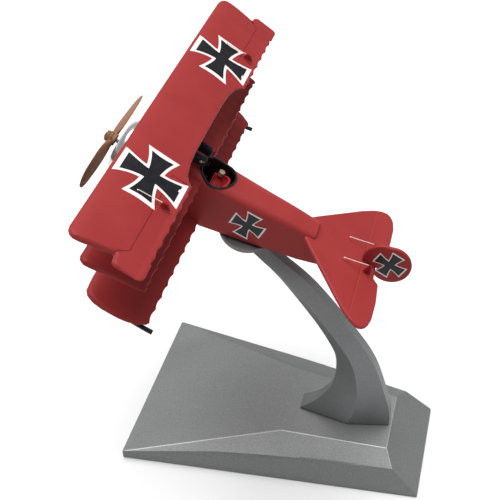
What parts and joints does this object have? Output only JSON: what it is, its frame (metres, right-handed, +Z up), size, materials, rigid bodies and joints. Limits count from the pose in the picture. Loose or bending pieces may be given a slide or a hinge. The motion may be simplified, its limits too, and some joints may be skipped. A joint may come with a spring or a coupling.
{
  "type": "triplane scale model on stand",
  "caption": "Desk model of a three-winged fighter aircraft climbing on a curved arm above a wedge-shaped stand.",
  "frame": {"origin": "middle of the stand's underside, on the shelf", "axes": "+Z up, the aircraft's nose and the stand's wide end towards -X, starboard wings towards +Y"},
  "size_m": [0.0918, 0.1, 0.1117],
  "materials": {
    "red_paint": "satin red paint, a little chalky",
    "dark_red_paint": "matte dark red paint",
    "silver_paint": "polished silver",
    "steel": "satin",
    "black_paint": "satin black paint",
    "tyre_black": "matte",
    "pad_rubber": "matte",
    "brown_plastic": "satin brown",
    "brass_paint": "satin",
    "off_white_paint": "satin",
    "stand_metal": "fine satin metallic grey, bright on worn ridges",
    "arm_metal": "satin dark metallic grey"
  },
  "bodies": {
    "stand": {"stand_base": "stand_metal", "base_pad": "pad_rubber", "arm_screw_1": "steel", "arm_screw_2": "steel", "stand_arm": "arm_metal", "stand_saddle": "stand_metal", "stand_peg": "steel"},
    "aircraft": {"fuselage": "red_paint", "belly_insert": "dark_red_paint", "cockpit_coaming": "black_paint", "firewall": "steel", "cockpit_floor": "dark_red_paint", "instrument_board": "black_paint", "pilot_seat": "dark_red_paint", "control_column": "black_paint", "compass": "brass_paint", "cowling": "silver_paint", "rotary_engine": "steel", "upper_wing": "red_paint", "lower_wing": "red_paint", "tailplane": "red_paint", "rudder": "red_paint", "tail_skid": "brown_plastic", "axle": "steel", "axle_fairing": "red_paint", "left_gun": "black_paint", "left_middle_wing": "red_paint", "left_upper_strut": "red_paint", "left_lower_strut": "red_paint", "left_cabane_strut": "red_paint", "left_wing_skid": "black_paint", "left_aileron_horn": "dark_red_paint", "left_aileron_wire": "off_white_paint", "left_elevator_horn": "dark_red_paint", "left_elevator_wire": "off_white_paint", "left_undercarriage_vee": "red_paint", "left_axle_cap": "steel", "right_gun": "black_paint", "right_middle_wing": "red_paint", "right_upper_strut": "red_paint", "right_lower_strut": "red_paint", "right_cabane_strut": "red_paint", "right_wing_skid": "black_paint", "right_aileron_horn": "dark_red_paint", "right_aileron_wire": "off_white_paint", "right_elevator_horn": "dark_red_paint", "right_elevator_wire": "off_white_paint", "right_undercarriage_vee": "red_paint", "right_axle_cap": "steel"},
    "propeller": {"propeller": "brown_plastic", "propeller_hub_plate": "brown_plastic", "propeller_shaft": "steel"},
    "left_wheel": {"left_tyre": "tyre_black", "left_wheel_cover": "red_paint"},
    "right_wheel": {"right_tyre": "tyre_black", "right_wheel_cover": "red_paint"}
  },
  "joints": [
    {"name": "lift_off", "type": "slide", "parent": "stand", "child": "aircraft", "axis": [0.2407, 0, 0.9706], "range_m": [0, 0.01]},
    {"name": "propeller_spin", "type": "hinge", "parent": "aircraft", "child": "propeller", "pos_m": [-0.04638, 0, 0.0969], "axis": [0.8867, 0, -0.4624], "continuous": true},
    {"name": "left_wheel_spin", "type": "hinge", "parent": "aircraft", "child": "left_wheel", "pos_m": [-0.04393, -0.0113, 0.07803], "axis": [0, 1, 0], "continuous": true},
    {"name": "right_wheel_spin", "type": "hinge", "parent": "aircraft", "child": "right_wheel", "pos_m": [-0.04393, 0.0113, 0.07803], "axis": [0, 1, 0], "continuous": true}
  ]
}
